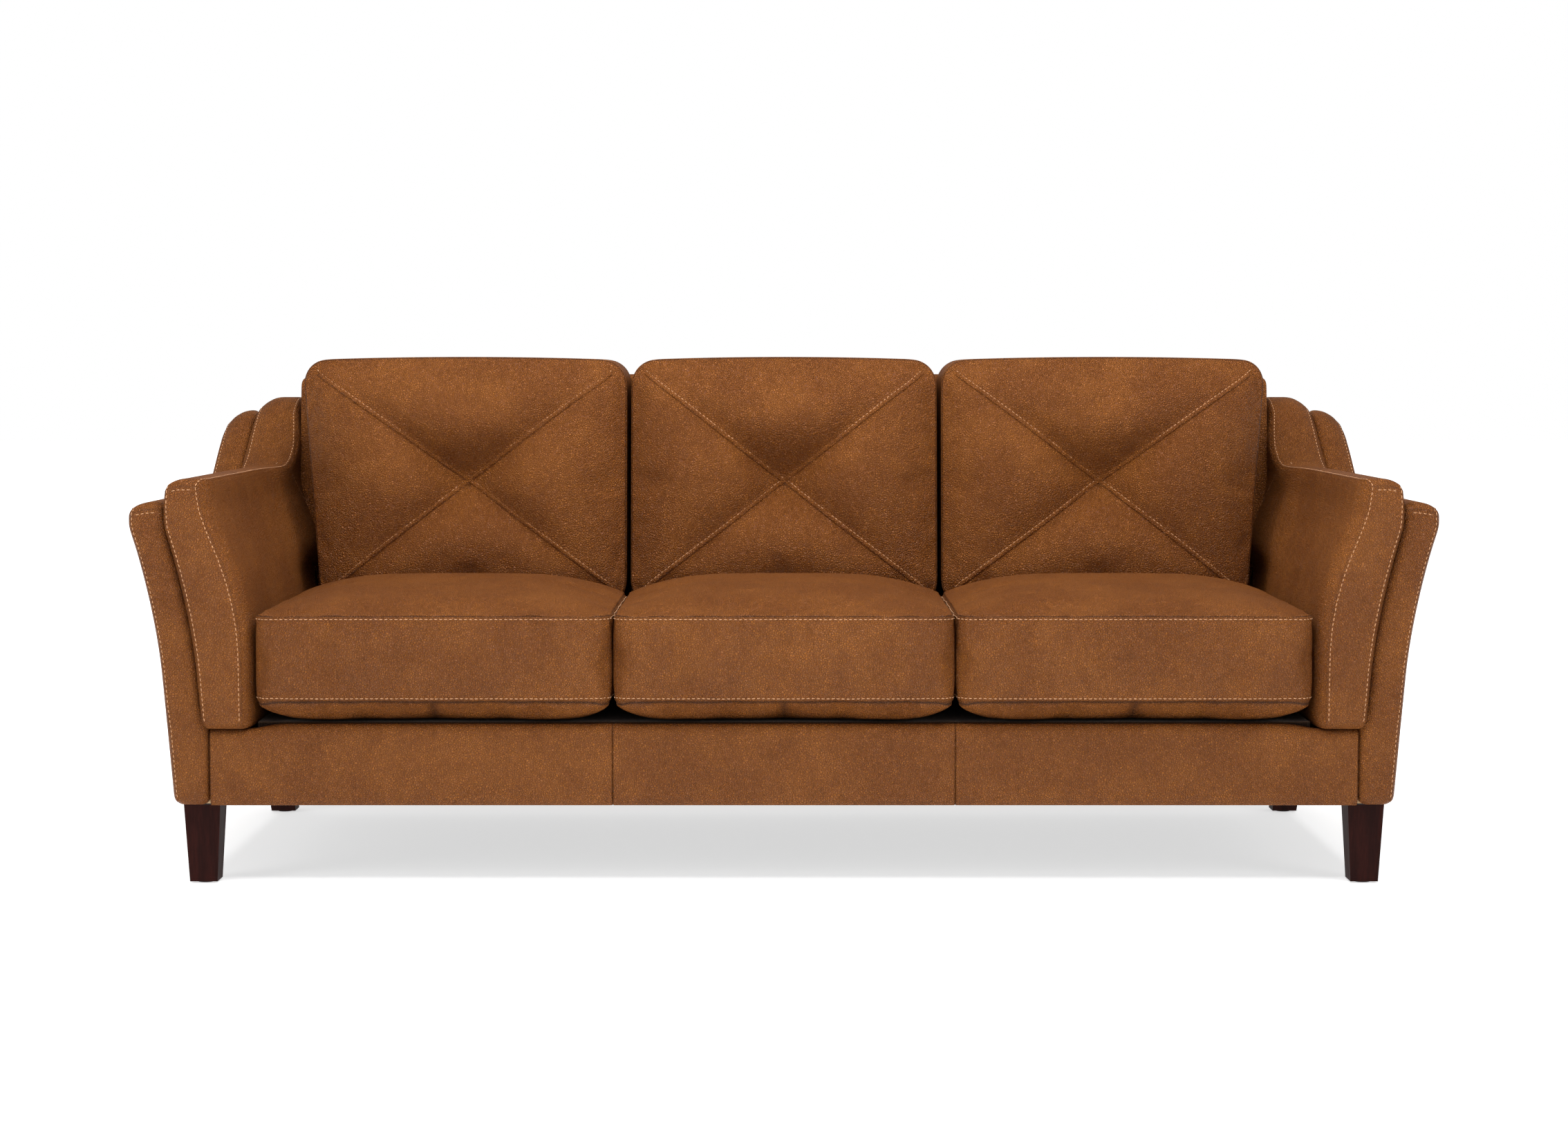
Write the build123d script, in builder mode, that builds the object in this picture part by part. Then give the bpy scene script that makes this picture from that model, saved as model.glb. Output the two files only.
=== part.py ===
"""Three-seat leather sofa on tapered wooden legs, as an assembly of separate pieces.

Millimetres. X runs along the sofa, Y from its front to its back and Z up. The origin is on the floor,
under the middle of the sofa. Pieces named left are on the side of -X.
"""

from build123d import *
import os
from math import atan2, tan

# Overall sizes
overall_width = 2210.0
overall_depth = 940.0
base_height = 138.0  # underside of the upholstery above the floor
back_height = 865.0  # top of the back frame's cap
back_rake = 60.0  # how far the outside back leans out from its foot to its top

# Upholstery layers
leather = 2.0
foam_wrap = 14.0  # foam glued over the wooden frame, under the leather
layer_gap = 0.2  # between a skin and what fills it
piece_gap = 0.5  # between upholstered pieces that lie against each other
slide_gap = 3.0  # beside a cushion that pulls out

# Arms: an outer shell that flares out, and a thick pad inside it
arm_flare = 71.0  # how far the shell leans out from its foot to its widest place
arm_knee_out = 19.0  # how much of that is below the knee
arm_knee_height = 360.0
arm_flare_height = 592.0
wing_lean_in = 14.0  # above the widest place, the wing leans back in
shell_width = 62.0
shell_height = 653.0
shell_wing_height = 794.0
shell_setback = 20.0  # front of the shell behind the front of the seat cushions
pad_height = 692.0
pad_wing_height = 820.0
pad_bottom = 268.0
pad_setback = 10.0
pad_overall = 209.0  # from the shell's widest place to the pad's inner face
pad_flare_start = 380.0
pad_flare_end = 650.0
pad_flare = 54.0
wing_level = 104.0  # how far in front of the outside back the sweep's upper corner is
sweep_run = 100.0  # from the sweep's lower corner to its upper one
sweep_low_radius = 130.0
sweep_high_radius = 70.0

# Wooden frame
board = 24.0
rail_height = 110.0
dust_cloth = 2.0
block_width = 54.0
block_depth = 76.0
stretcher_drop = 20.0  # top of a seat stretcher below the top of the rails
stretcher_height = 80.0
arm_post_depth = 60.0
arm_rail_height = 40.0
back_board = 6.0  # stiff board behind the leather of the outside back
back_post_depth = 56.0
back_post_drop = 34.0  # top of a back post below the top of the back
back_rail_height = 60.0
back_lower_rail_height = 300.0
back_depth_low = 165.0  # inside back to outside back, at the deck
back_depth_top = 140.0  # the same at the top
back_cap_drop = 65.0  # foot of the cap's rear face below the top of the back
back_cap_radius = 26.0
webbing = 2.0
webbing_width = 50.0
webbing_per_seat = 3

# Seat
seat_division = 290.0  # from the middle of the sofa to the line between two seats
deck_height = 277.0
deck_cloth = 2.0
deck_pad = 18.0
spring_wire = 3.8
spring_pitch = 44.0  # between the cross bars of a sinuous spring
spring_width = 46.0
spring_bend = 19.0
springs_per_seat = 4
clip_steel = 1.4
clip_width = 64.0
clip_depth = 18.0
apron_top_depth = 38.0
apron_radius = 14.0

# Loose seat cushions
seat_bottom_gap = 3.0
seat_front_height = 454.0
seat_crown_height = 490.0
seat_rear_height = 426.0
seat_crown_behind_front = 250.0
seat_edge_radius = 16.0
zip_length = 420.0
zip_width = 26.0
zip_thickness = 1.4

# Back cushions
cushion_bottom = 432.0
cushion_top = 902.0
cushion_thickness = 196.0  # along Y at its edges
cushion_crown = 46.0
cushion_corner_radius = 44.0
cushion_to_pad = 42.0  # outer edge of an outer cushion short of the arm pad, at its foot
cushion_lean_out = 54.0  # and how far that edge then leans out towards its top
cushion_gap = 8.0  # between two back cushions

# Legs and their fittings
leg_top_width = 62.0
leg_top_depth = 62.0
leg_foot_width = 47.0
leg_foot_depth = 47.0
rear_leg_kick = 60.0  # how far a rear leg's foot stands behind its top
front_leg_inset = 42.0  # from the front face of the front rail to the leg's middle
rear_leg_inset = 40.0  # from the rear face of the rear rail to the leg's middle
glide_height = 3.0
glide_radius = 14.0
bolt_radius = 4.0
bolt_in_leg = 40.0
bolt_in_block = 22.0
tee_nut_barrel = 10.0
tee_nut_flange = 1.5
tee_nut_radius = 5.5
tee_nut_flange_radius = 10.0
thread_clearance = 0.05
hole_clearance = 0.2

# Places worked out from the sizes above
front = -overall_depth / 2
rear = overall_depth / 2
half_width = overall_width / 2
foot_half = half_width - arm_flare  # half the width at the foot of the shells
shell_front = front + shell_setback
pad_front = front + pad_setback
seat_half = half_width - pad_overall  # half the width between the arm pads, at the seat
wrap = leather + foam_wrap
panel_depth = leather + back_board
frame_bottom = base_height + dust_cloth
rail_top = frame_bottom + rail_height
rail_front = shell_front + wrap
rear_rail_back = rear - back_rake - panel_depth - piece_gap
frame_half = foot_half - wrap - piece_gap  # half the length of the front and rear rails
leg_x = frame_half - block_width / 2
front_leg_y = rail_front + front_leg_inset
rear_leg_y = rear_rail_back - rear_leg_inset
seat_bottom = deck_height + seat_bottom_gap
apron_top = pad_bottom - piece_gap  # the arm pads overhang the apron
spring_height = rail_top + clip_steel + spring_wire / 2
post_top = back_height - back_post_drop
back_top_rail_height = post_top - back_rail_height
margin = 10.0  # how far a cutter runs past what it cuts

sides = {"left": -1, "right": 1}
seats = {"left": -1, "middle": 0, "right": 1}
leg_places = {
    "front_left": (-leg_x, front_leg_y, 0.0),
    "front_right": (leg_x, front_leg_y, 0.0),
    "rear_left": (-leg_x, rear_leg_y, rear_leg_kick),
    "rear_right": (leg_x, rear_leg_y, rear_leg_kick),
}


def outside_back(height):
    """Y of the outside back at a height: it leans out in a straight line."""
    return rear - back_rake * (back_height - height) / (back_height - base_height)


def inside_back(height):
    """Y of the back frame's front face at a height: it leans more than the outside back."""
    share = (back_height - height) / (back_height - deck_height)
    return outside_back(height) - back_depth_top - (back_depth_low - back_depth_top) * share


def front_plane(y):
    """A sketch plane across the sofa at Y: its own x is X and its own y is Z."""
    return Plane(origin=(0, y, 0), x_dir=(1, 0, 0), z_dir=(0, -1, 0))


def side_plane(x):
    """A sketch plane along the sofa's depth at X: its own x is Y and its own y is Z."""
    return Plane(origin=(x, 0, 0), x_dir=(0, 1, 0), z_dir=(1, 0, 0))


def slab(x_range, y_range, z_range):
    """A rectangular solid between two limits in X, Y and Z."""
    with BuildPart() as made:
        with BuildSketch(Plane.XY.offset(z_range[0])):
            with Locations((sum(x_range) / 2, sum(y_range) / 2)):
                Rectangle(x_range[1] - x_range[0], y_range[1] - y_range[0])
        extrude(amount=z_range[1] - z_range[0])
    return made.part


def common(first, second):
    """What two solids share."""
    with BuildPart() as made:
        add(first)
        add(second, mode=Mode.INTERSECT)
    return made.part


def on_side(piece, side):
    """A right-hand piece, or its mirror image on the left."""
    return piece if side > 0 else mirror(piece, about=Plane.YZ)


def write(piece, label):
    """Labels a piece and writes it to its own STEP file."""
    piece.label = label
    export_step(piece, f"parts/{label}.step")


# Outlines that several pieces share


def shell_line(inward):
    """The flared line of the right arm's outer face, moved inward, from its foot up to the wing."""
    x = foot_half - inward
    knee = (x + arm_knee_out, arm_knee_height)
    Line((x, base_height - margin), (x, base_height))
    Line((x, base_height), knee)
    TangentArc(knee, (x + arm_flare, arm_flare_height), tangent=(arm_knee_out, knee[1] - base_height))
    Line((x + arm_flare, arm_flare_height), (x + arm_flare - wing_lean_in, back_height + margin))


def shell_ends(inward):
    """The two ends of that line."""
    x = foot_half - inward
    return (x, base_height - margin), (x + arm_flare - wing_lean_in, back_height + margin)


def flared_band(outer, inner, y_range):
    """The arm's flared section between two depths under its outer face, run along Y."""
    with BuildPart() as made:
        with BuildSketch(front_plane(y_range[1])):
            with BuildLine():
                shell_line(outer)
                shell_line(inner)
                Line(shell_ends(outer)[0], shell_ends(inner)[0])
                Line(shell_ends(outer)[1], shell_ends(inner)[1])
            make_face()
        extrude(amount=y_range[1] - y_range[0])
    return made.part


def pad_inner_line(inset):
    """The pad's inner face: upright beside the seat cushion, then flared, then upright at the wing."""
    x = seat_half + inset
    Line((x, base_height), (x, pad_flare_start))
    TangentArc((x, pad_flare_start), (x + pad_flare, pad_flare_end), tangent=(0, 1))
    Line((x + pad_flare, pad_flare_end), (x + pad_flare, back_height + margin))


def pad_band(inset):
    """The pad's section, from the shell to its own inner face, run along Y."""
    depth = shell_width + piece_gap + inset
    foot, wing = shell_ends(depth)
    with BuildPart() as made:
        with BuildSketch(front_plane(rear)):
            with BuildLine():
                shell_line(depth)
                pad_inner_line(inset)
                Polyline(foot, (seat_half + inset, foot[1]), (seat_half + inset, base_height))
                Line(wing, (seat_half + inset + pad_flare, wing[1]))
            make_face()
        extrude(amount=overall_depth)
    return made.part


def arm_outline(start, level, wing, bottom, inset, behind):
    """The right arm from the side: a level top that sweeps up to the wing, run across the arm."""
    turn = atan2(wing - level, sweep_run) / 2
    upper = rear - wing_level + inset * tan(turn)
    corners = [
        (start + inset, level - inset),
        (upper - sweep_run, level - inset),
        (upper, wing - inset),
        (outside_back(wing) - behind, wing - inset),
    ]
    with BuildPart() as made:
        with BuildSketch(side_plane(seat_half - margin)):
            with BuildLine():
                top = FilletPolyline(*corners, radius=[sweep_low_radius + inset, sweep_high_radius - inset])
                Polyline(
                    top @ 1,
                    (outside_back(bottom) - behind, bottom),
                    (start + inset, bottom),
                    top @ 0,
                )
            make_face()
        extrude(amount=half_width)
    return made.part


def shell_solid(inset, bottom):
    """The right arm's outer shell, filled, with its faces moved in by the inset."""
    outline = arm_outline(shell_front, shell_height, shell_wing_height, bottom, inset, inset)
    return common(flared_band(inset, shell_width - inset, (front, rear)), outline)


def pad_solid(inset):
    """The right arm's pad, filled, with its faces moved in by the inset."""
    bottom = pad_bottom + inset
    behind = panel_depth + piece_gap + inset
    outline = arm_outline(pad_front, pad_height, pad_wing_height, bottom, inset, behind)
    return common(pad_band(inset), outline)


def below_pad():
    """Clears the inner wall of the right shell below the pad, where the seat frame joins the arm."""
    return slab(
        (foot_half - shell_width - margin, frame_half + piece_gap),
        (rail_front - layer_gap, rear),
        (base_height - margin, pad_bottom),
    )


def raked_board(x_range, y_near, y_far, z_range):
    """A board that leans with the back, between two depths in front of the outside back."""
    low, high = z_range
    with BuildPart() as made:
        with BuildSketch(side_plane(x_range[0])):
            with BuildLine():
                Polyline(
                    (outside_back(low) - y_far, low),
                    (outside_back(low) - y_near, low),
                    (outside_back(high) - y_near, high),
                    (outside_back(high) - y_far, high),
                    close=True,
                )
            make_face()
        extrude(amount=x_range[1] - x_range[0])
    return made.part


def between_pads(inset):
    """The space between the two arm pads, seen from the front, run along Y."""
    x = seat_half - piece_gap - inset
    wing = x + pad_flare
    top = back_height + margin
    with BuildPart() as made:
        with BuildSketch(front_plane(rear + margin)):
            with BuildLine():
                Line((0, base_height), (x, base_height))
                Line((x, base_height), (x, pad_flare_start))
                TangentArc((x, pad_flare_start), (wing, pad_flare_end), tangent=(0, 1))
                Polyline((wing, pad_flare_end), (wing, top), (0, top), (0, base_height))
            make_face()
            mirror(about=Plane.YZ)
        extrude(amount=overall_depth)
    return made.part


def back_section(inset, bottom):
    """The upholstered back from the side, down to its cap's rear foot and the deck, run along X."""
    top = back_height - inset
    cap_foot = back_height - back_cap_drop
    corners = [
        (inside_back(bottom) + inset, bottom),
        (inside_back(top) + inset, top),
        (outside_back(top) - inset, top),
        (outside_back(cap_foot) - inset, cap_foot),
    ]
    behind_webbing = outside_back(bottom) - panel_depth - piece_gap - back_post_depth - board - webbing
    with BuildPart() as made:
        with BuildSketch(side_plane(-half_width)):
            with BuildLine():
                outer = FilletPolyline(*corners, radius=back_cap_radius - inset)
                Polyline(
                    outer @ 1,
                    (outside_back(cap_foot) - panel_depth - piece_gap, cap_foot),
                    (outside_back(bottom) - panel_depth - piece_gap, bottom),
                    (behind_webbing, bottom),
                    outer @ 0,
                )
            make_face()
        extrude(amount=overall_width)
    return made.part


def back_frame_room():
    """The room that the back's posts, rails and webbing take, run along X."""
    reach = panel_depth + piece_gap + back_post_depth + board + webbing + layer_gap
    return raked_board((-half_width, half_width), 0, reach, (base_height, post_top + layer_gap))


def apron_line(inset):
    """The apron's face from the side: up the front and back over the top to the deck."""
    return FilletPolyline(
        (shell_front + inset, base_height),
        (shell_front + inset, apron_top - inset),
        (shell_front + apron_top_depth, apron_top - inset),
        radius=apron_radius - inset,
    )


def seat_x_range(place, inset):
    """The limits in X of a seat cushion: left, middle or right."""
    gap = slide_gap / 2
    outer = seat_half - slide_gap - inset
    inner = seat_division + gap + inset
    if place == 0:
        return -seat_division + gap + inset, seat_division - gap - inset
    return (inner, outer) if place > 0 else (-outer, -inner)


def seat_cushion_solid(place, inset):
    """A seat cushion, filled: boxed, crowned behind its front edge and lower under the back cushion."""
    x_low, x_high = seat_x_range(place, inset)
    y_low = front + inset
    y_high = inside_back(seat_bottom) - slide_gap - inset
    crown_y = front + seat_crown_behind_front
    under_back = inside_back(cushion_bottom) - cushion_thickness - cushion_crown
    low = seat_bottom + inset
    with BuildPart() as cushion:
        with BuildSketch(side_plane(x_low)):
            with BuildLine():
                Polyline(
                    (under_back, seat_rear_height - inset),
                    (y_high, seat_rear_height - inset),
                    (y_high, low),
                    (y_low, low),
                    (y_low, seat_front_height - inset),
                )
                ThreePointArc(
                    (y_low, seat_front_height - inset),
                    (crown_y, seat_crown_height - inset),
                    (under_back, seat_rear_height - inset),
                )
            make_face()
        extrude(amount=x_high - x_low)
        corners = cushion.edges().filter_by(Axis.Z)
        fillet(corners, seat_edge_radius - inset)
    return cushion.part


def back_cushion_outline(place, inset):
    """A back cushion from the front: outer ones lean out with the arm beside them, run along Y."""
    low = cushion_bottom + inset
    high = cushion_top - inset
    inner = seat_division - cushion_gap / 2 - inset
    outer_low = seat_half - cushion_to_pad - inset
    outer_high = outer_low + cushion_lean_out
    if place == 0:
        corners = [(-inner, low), (inner, low), (inner, high), (-inner, high)]
    else:
        inner = seat_division + cushion_gap / 2 + inset
        corners = [(inner, low), (outer_low, low), (outer_high, high), (inner, high)]
    with BuildPart() as made:
        with BuildSketch(front_plane(rear + margin)) as outline:
            with BuildLine():
                Polyline(*corners, close=True)
            make_face()
            fillet(outline.vertices(), cushion_corner_radius - inset)
        extrude(amount=overall_depth)
    return on_side(made.part, place) if place else made.part


def back_cushion_solid(place, inset):
    """A back cushion, filled: it leans on the back frame and its front face is crowned."""
    low = cushion_bottom - margin
    high = cushion_top + margin
    near = cushion_thickness + slide_gap - inset
    middle = (cushion_bottom + cushion_top) / 2
    with BuildPart() as made:
        with BuildSketch(side_plane(-half_width)):
            with BuildLine():
                Polyline(
                    (inside_back(low) - near, low),
                    (inside_back(low) - slide_gap - inset, low),
                    (inside_back(high) - slide_gap - inset, high),
                    (inside_back(high) - near, high),
                )
                ThreePointArc(
                    (inside_back(high) - near, high),
                    (inside_back(middle) - near - cushion_crown, middle),
                    (inside_back(low) - near, low),
                )
            make_face()
        extrude(amount=overall_width)
    return common(made.part, back_cushion_outline(place, inset))


# Wooden frame


def front_rail():
    with BuildPart() as rail:
        with BuildSketch(Plane.XY.offset(frame_bottom)):
            with Locations((0, rail_front + board / 2)):
                Rectangle(2 * frame_half, board)
        extrude(amount=rail_height)
    write(rail.part, "front_rail")


def rear_rail():
    with BuildPart() as rail:
        with BuildSketch(Plane.XY.offset(frame_bottom)):
            with Locations((0, rear_rail_back - board / 2)):
                Rectangle(2 * frame_half, board)
        extrude(amount=rail_height)
    write(rail.part, "rear_rail")


def side_rail(name, side):
    """Runs from the front rail to the rear rail, inside the corner blocks."""
    y_low = rail_front + board
    y_high = rear_rail_back - board
    x_high = frame_half - block_width
    with BuildPart() as rail:
        with BuildSketch(Plane.XY.offset(frame_bottom)):
            with Locations((side * (x_high - board / 2), (y_low + y_high) / 2)):
                Rectangle(board, y_high - y_low)
        extrude(amount=rail_height)
    write(rail.part, f"side_rail_{name}")


def seat_stretchers():
    """Two boards under the lines between the seats, lower than the springs."""
    y_low = rail_front + board
    y_high = rear_rail_back - board
    with BuildPart() as stretchers:
        with BuildSketch(Plane.XY.offset(rail_top - stretcher_drop - stretcher_height)):
            with Locations((0, (y_low + y_high) / 2)):
                with GridLocations(2 * seat_division, 0, 2, 1):
                    Rectangle(board, y_high - y_low)
        extrude(amount=stretcher_height)
    write(stretchers.part, "seat_stretchers")


def corner_blocks():
    """Four blocks that take the legs' bolts, each bored and recessed for its tee nut."""
    front_y = rail_front + board + block_depth / 2
    rear_y = rear_rail_back - board - block_depth / 2
    bores = [(x, y) for x, y, kick in leg_places.values()]
    with BuildPart() as blocks:
        with BuildSketch(Plane.XY.offset(frame_bottom)):
            with Locations((-leg_x, front_y), (leg_x, front_y), (-leg_x, rear_y), (leg_x, rear_y)):
                Rectangle(block_width, block_depth)
        extrude(amount=rail_height)
        with BuildSketch(Plane.XY.offset(frame_bottom)):
            with Locations(*bores):
                Circle(tee_nut_radius + hole_clearance)
        extrude(amount=bolt_in_block + hole_clearance, mode=Mode.SUBTRACT)
        with BuildSketch(Plane.XY.offset(frame_bottom)):
            with Locations(*bores):
                Circle(tee_nut_flange_radius + hole_clearance)
        extrude(amount=tee_nut_flange, mode=Mode.SUBTRACT)
    write(blocks.part, "corner_blocks")


def arm_post(name, side, end, y_range):
    """A sawn post that follows the arm's flare, standing on the rail and the corner block."""
    band = flared_band(wrap + layer_gap, wrap + layer_gap + board, y_range)
    inside = shell_solid(wrap + layer_gap, rail_top)
    with BuildPart() as post:
        add(band)
        add(inside, mode=Mode.INTERSECT)
    write(on_side(post.part, side), f"arm_{end}_post_{name}")


def arm_top_rail(name, side):
    """Joins the two posts of an arm under its level top."""
    top = shell_height - wrap - layer_gap
    y_low = rail_front + layer_gap + arm_post_depth
    y_high = outside_back(rail_top) - wrap - arm_post_depth
    band = flared_band(wrap + layer_gap, wrap + layer_gap + board, (y_low, y_high))
    level = slab((seat_half, half_width), (front, rear), (top - arm_rail_height, top))
    with BuildPart() as rail:
        add(band)
        add(level, mode=Mode.INTERSECT)
    write(on_side(rail.part, side), f"arm_top_rail_{name}")


def back_posts(label, x_middle):
    """A pair of raked posts that stand on the rear rail."""
    near = panel_depth + piece_gap
    half = board / 2
    post = raked_board((x_middle - half, x_middle + half), near, near + back_post_depth, (rail_top, post_top))
    with BuildPart() as posts:
        add(post)
        mirror(about=Plane.YZ)
    write(posts.part, label)


def back_rail(label, half_length, bottom):
    """A rail across the front edges of the back posts."""
    near = panel_depth + piece_gap + back_post_depth
    board_solid = raked_board((-half_length, half_length), near, near + board, (bottom, bottom + back_rail_height))
    with BuildPart() as rail:
        add(board_solid)
    write(rail.part, label)


def back_webbing():
    """Upright straps on the front of the two back rails, a set behind each seat."""
    near = panel_depth + piece_gap + back_post_depth + board
    outer = seat_half - wrap - 2 * board
    seat_width = (outer + seat_division) / 2
    with BuildPart() as straps:
        for place in seats.values():
            width = 2 * seat_division if place == 0 else outer - seat_division
            middle = place * seat_width
            pitch = width / webbing_per_seat
            for number in range(webbing_per_seat):
                x = middle + pitch * (number - (webbing_per_seat - 1) / 2)
                with BuildSketch(side_plane(x - webbing_width / 2)):
                    with BuildLine():
                        Polyline(
                            (outside_back(back_lower_rail_height) - near - webbing, back_lower_rail_height),
                            (outside_back(back_lower_rail_height) - near, back_lower_rail_height),
                            (outside_back(post_top) - near, post_top),
                            (outside_back(post_top) - near - webbing, post_top),
                            close=True,
                        )
                    make_face()
                extrude(amount=webbing_width)
    write(straps.part, "back_webbing")


# Seat deck


def spring_columns(place):
    """X of each sinuous spring under a seat."""
    x_low, x_high = seat_x_range(place, 0)
    pitch = (x_high - x_low) / springs_per_seat
    return [x_low + pitch * (number + 0.5) for number in range(springs_per_seat)]


def spring_span():
    """Y of the springs' two end bars, which lie on the front and the rear rail."""
    return rail_front + board / 2, rear_rail_back - board / 2


def seat_springs(name, place):
    """A set of sinuous springs: cross bars joined by round bends, from rail to rail."""
    y_low, y_high = spring_span()
    bars = 2 * round((y_high - y_low) / spring_pitch / 2)
    pitch = (y_high - y_low) / bars
    half = spring_width / 2
    points = []
    for number in range(bars + 1):
        y = y_low + pitch * number
        ends = [(-half, y, spring_height), (half, y, spring_height)]
        points += ends if number % 2 == 0 else ends[::-1]
    with BuildPart() as spring:
        with BuildLine() as wire:
            FilletPolyline(*points, radius=spring_bend)
        with BuildSketch(Plane(wire.line @ 0, z_dir=wire.line % 0)):
            Circle(spring_wire / 2)
        sweep(path=wire.line)
    with BuildPart() as springs:
        for x in spring_columns(place):
            add(spring.part.moved(Location((x, 0, 0))))
    write(springs.part, f"seat_springs_{name}")


def spring_clips():
    """A steel plate under each spring's end bar, at both rails."""
    columns = [x for place in seats.values() for x in spring_columns(place)]
    places = [(x, y) for x in columns for y in spring_span()]
    with BuildPart() as clips:
        with BuildSketch(Plane.XY.offset(rail_top)):
            with Locations(*places):
                Rectangle(clip_width, clip_depth)
        extrude(amount=clip_steel - layer_gap)
    write(clips.part, "spring_clips")


def deck_layer(label, bottom, thickness):
    """A flat layer of the seat's deck, from the apron to the foot of the inside back."""
    y_low = shell_front + apron_top_depth + piece_gap
    y_high = inside_back(deck_height) - piece_gap
    with BuildPart() as layer:
        with BuildSketch(Plane.XY.offset(bottom)):
            with Locations((0, (y_low + y_high) / 2)):
                Rectangle(2 * (seat_half - piece_gap), y_high - y_low)
        extrude(amount=thickness)
    write(layer.part, label)


def apron_cover(name, place):
    """One leather panel of the apron: left, middle or right, sewn to the next one."""
    x_limits = {
        -1: (-foot_half + shell_width + piece_gap, -seat_division - layer_gap / 2),
        0: (-seat_division + layer_gap / 2, seat_division - layer_gap / 2),
        1: (seat_division + layer_gap / 2, foot_half - shell_width - piece_gap),
    }
    x_low, x_high = x_limits[place]
    with BuildPart() as panel:
        with BuildSketch(side_plane(x_low)):
            with BuildLine():
                outer = apron_line(0)
                inner = apron_line(leather)
                Line(outer @ 0, inner @ 0)
                Line(outer @ 1, inner @ 1)
            make_face()
        extrude(amount=x_high - x_low)
    write(panel.part, f"apron_cover_{name}")


def apron_foam():
    """Foam between the apron's leather and the front rail."""
    half = foot_half - shell_width - piece_gap
    inset = leather + layer_gap
    back_edge = shell_front + apron_top_depth
    with BuildPart() as foam:
        with BuildSketch(side_plane(-half)):
            with BuildLine():
                face = apron_line(inset)
                Polyline(
                    face @ 1,
                    (back_edge, spring_height + spring_wire),
                    (rail_front - layer_gap, spring_height + spring_wire),
                    (rail_front - layer_gap, base_height),
                    face @ 0,
                )
            make_face()
        extrude(amount=2 * half)
    write(foam.part, "apron_foam")


def dust_cover():
    """Thin cloth stapled under the frame, with a hole for each leg's bolt."""
    bores = [(x, y) for x, y, kick in leg_places.values()]
    with BuildPart() as cloth:
        with BuildSketch(Plane.XY.offset(base_height)):
            with Locations((0, (rail_front + rear_rail_back) / 2)):
                Rectangle(2 * frame_half, rear_rail_back - rail_front)
            with Locations(*bores):
                Circle(bolt_radius + hole_clearance, mode=Mode.SUBTRACT)
        extrude(amount=dust_cloth)
    write(cloth.part, "dust_cover")


# Arms


def arm_shell_cover(name, side):
    """Leather of an arm's flared outer shell, open below and where the seat frame joins it."""
    filled = shell_solid(0, base_height)
    hollow = shell_solid(leather, base_height - margin)
    opening = below_pad()
    with BuildPart() as cover:
        add(filled)
        add(hollow, mode=Mode.SUBTRACT)
        add(opening, mode=Mode.SUBTRACT)
    write(on_side(cover.part, side), f"arm_shell_cover_{name}")


def arm_shell_foam(name, side):
    """Foam wrap between the shell's leather and the arm's posts and rail."""
    filled = shell_solid(leather + layer_gap, base_height)
    hollow = shell_solid(wrap, base_height - margin)
    opening = below_pad()
    with BuildPart() as foam:
        add(filled)
        add(hollow, mode=Mode.SUBTRACT)
        add(opening, mode=Mode.SUBTRACT)
    write(on_side(foam.part, side), f"arm_shell_foam_{name}")


def arm_pad_cover(name, side):
    """Leather case of an arm's thick inner pad."""
    filled = pad_solid(0)
    hollow = pad_solid(leather)
    with BuildPart() as cover:
        add(filled)
        add(hollow, mode=Mode.SUBTRACT)
    write(on_side(cover.part, side), f"arm_pad_cover_{name}")


def arm_pad_foam(name, side):
    """Foam that fills the pad's case."""
    filled = pad_solid(leather + layer_gap)
    with BuildPart() as foam:
        add(filled)
    write(on_side(foam.part, side), f"arm_pad_foam_{name}")


# Back


def back_frame_cover():
    """Leather over the inside back and its cap, open behind where the posts are."""
    filled = common(back_section(0, deck_height), between_pads(0))
    hollow = common(back_section(leather, deck_height - margin), between_pads(leather))
    with BuildPart() as cover:
        add(filled)
        add(hollow, mode=Mode.SUBTRACT)
    write(cover.part, "back_frame_cover")


def back_frame_foam():
    """Foam in front of the webbing and over the top of the posts."""
    inset = leather + layer_gap
    filled = common(back_section(inset, deck_height), between_pads(inset))
    room = back_frame_room()
    with BuildPart() as foam:
        add(filled)
        add(room, mode=Mode.SUBTRACT)
    write(foam.part, "back_frame_foam")


def outside_back_cover():
    """Board and leather that close the back, between the two arm shells."""
    band = flared_band(shell_width + piece_gap, foot_half + arm_flare, (0, rear + margin))
    panel = raked_board(
        (0, half_width), 0, panel_depth, (base_height, back_height - back_cap_drop - piece_gap)
    )
    with BuildPart() as half:
        add(panel)
        add(band, mode=Mode.INTERSECT)
    with BuildPart() as cover:
        add(half.part)
        mirror(about=Plane.YZ)
    write(cover.part, "outside_back_cover")


# Cushions


def seat_cushion(name, place):
    """A loose seat cushion: leather cover, foam core and the zip at its rear."""
    filled = seat_cushion_solid(place, 0)
    hollow = seat_cushion_solid(place, leather)
    with BuildPart() as cover:
        add(filled)
        add(hollow, mode=Mode.SUBTRACT)
    write(cover.part, f"seat_cushion_cover_{name}")

    block = seat_cushion_solid(place, leather + layer_gap)
    with BuildPart() as core:
        add(block)
    write(core.part, f"seat_cushion_core_{name}")

    middle = sum(seat_x_range(place, 0)) / 2
    height = (seat_bottom + seat_rear_height) / 2
    with BuildPart() as zip_strip:
        with BuildSketch(front_plane(inside_back(seat_bottom) - slide_gap + zip_thickness)):
            with Locations((middle, height)):
                Rectangle(zip_length, zip_width)
        extrude(amount=zip_thickness)
    write(zip_strip.part, f"seat_cushion_zip_{name}")


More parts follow.
